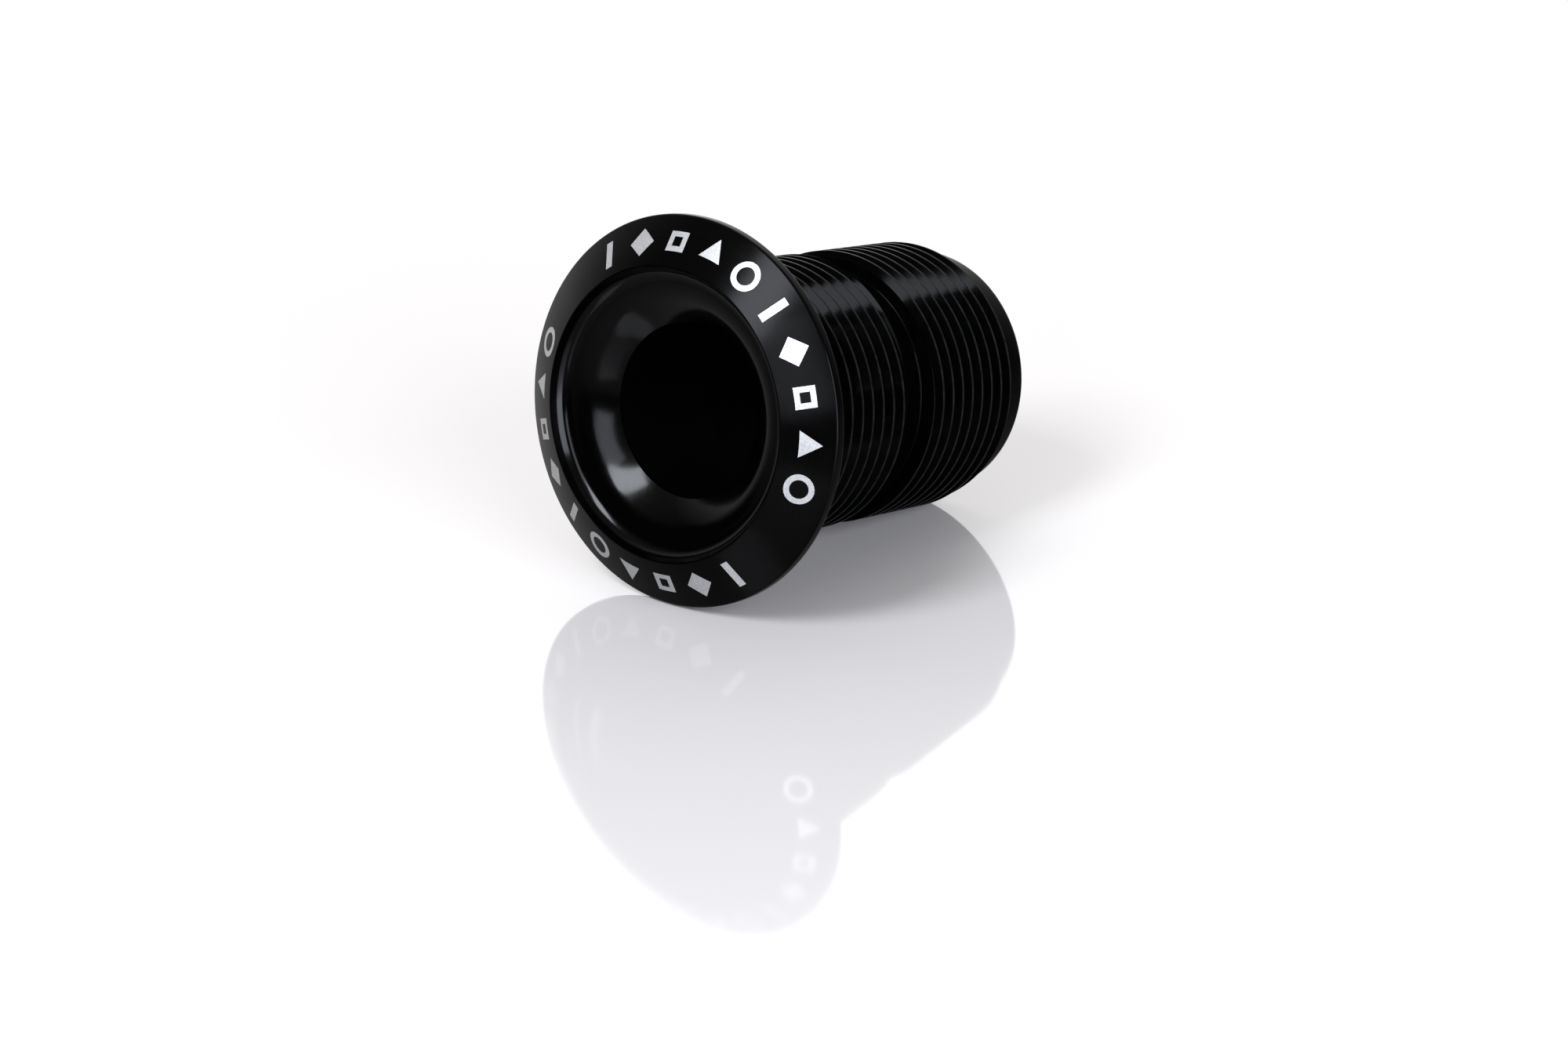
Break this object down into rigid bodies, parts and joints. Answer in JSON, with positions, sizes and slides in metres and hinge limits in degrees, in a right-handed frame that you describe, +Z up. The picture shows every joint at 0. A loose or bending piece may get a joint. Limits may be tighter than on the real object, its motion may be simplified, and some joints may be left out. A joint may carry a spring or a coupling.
{
  "type": "hollow threaded cap bolt",
  "caption": "Hollow threaded cap bolt with a conical flange and a bell-mouthed bore, for closing a tube end while a cable passes through.",
  "frame": {"origin": "on the bolt's axis, in the plane of the flange's seat face", "axes": "+Y along the bolt's axis from the flange towards the pilot end, +Z up, +X to the right seen from the flange side"},
  "size_m": [0.0344, 0.0386, 0.0344],
  "materials": {
    "anodised_body": "black anodised, satin, fine turning marks on the cone",
    "gloss_liner": "polished black",
    "drive_steel": "black oxide"
  },
  "bodies": {
    "root": {"cap_body": "anodised_body", "bell_mouth_liner": "gloss_liner", "hex_drive_sleeve": "drive_steel"}
  },
  "joints": []
}
